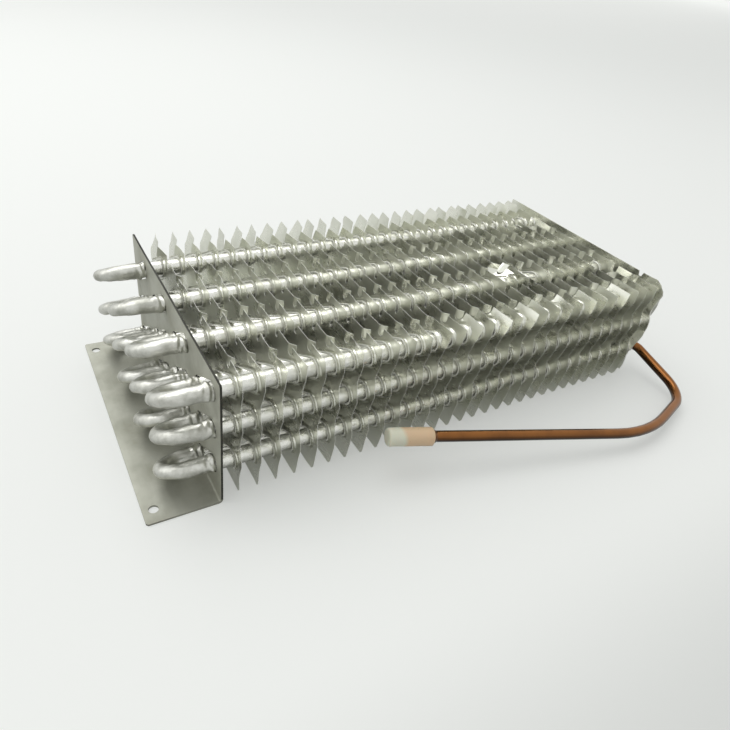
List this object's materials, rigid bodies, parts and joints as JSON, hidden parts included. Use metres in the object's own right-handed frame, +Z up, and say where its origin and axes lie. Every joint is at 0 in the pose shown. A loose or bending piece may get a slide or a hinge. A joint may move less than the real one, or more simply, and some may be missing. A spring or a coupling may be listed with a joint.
{
  "type": "finned tube evaporator",
  "caption": "Refrigerator evaporator: one aluminium tube bent back and forth through a block of thin slotted fins between two end plates, with a folded foot and a capped copper pipe",
  "frame": {"origin": "midway between the two screw holes of the foot, on its underside", "axes": "+X along the tube passes from the foot to the right end plate, +Y from the front with the copper pipe to the back, +Z up"},
  "size_m": [0.3434, 0.2039, 0.07],
  "materials": {
    "plate": "satin sheet",
    "tube": "bright drawn tube",
    "fin": "bright rolled foil",
    "copper": "dark lacquered copper",
    "sleeve": "satin",
    "cap": "translucent soft plastic"
  },
  "bodies": {
    "root": {"left_end_plate": "plate", "right_end_plate": "plate", "coil_tube": "tube", "copper_pipe": "copper", "joint_sleeve": "sleeve", "pipe_cap": "cap", "fin_01": "fin", "fin_02": "fin", "fin_03": "fin", "fin_04": "fin", "fin_05": "fin", "fin_06": "fin", "fin_07": "fin", "fin_08": "fin", "fin_09": "fin", "fin_10": "fin", "fin_11": "fin", "fin_12": "fin", "fin_13": "fin", "fin_14": "fin", "fin_15": "fin", "fin_16": "fin", "fin_17": "fin", "fin_18": "fin", "fin_19": "fin", "fin_20": "fin", "fin_21": "fin", "fin_22": "fin", "fin_23": "fin", "fin_24": "fin", "fin_25": "fin", "fin_26": "fin", "fin_27": "fin", "fin_28": "fin", "fin_29": "fin"}
  },
  "joints": []
}
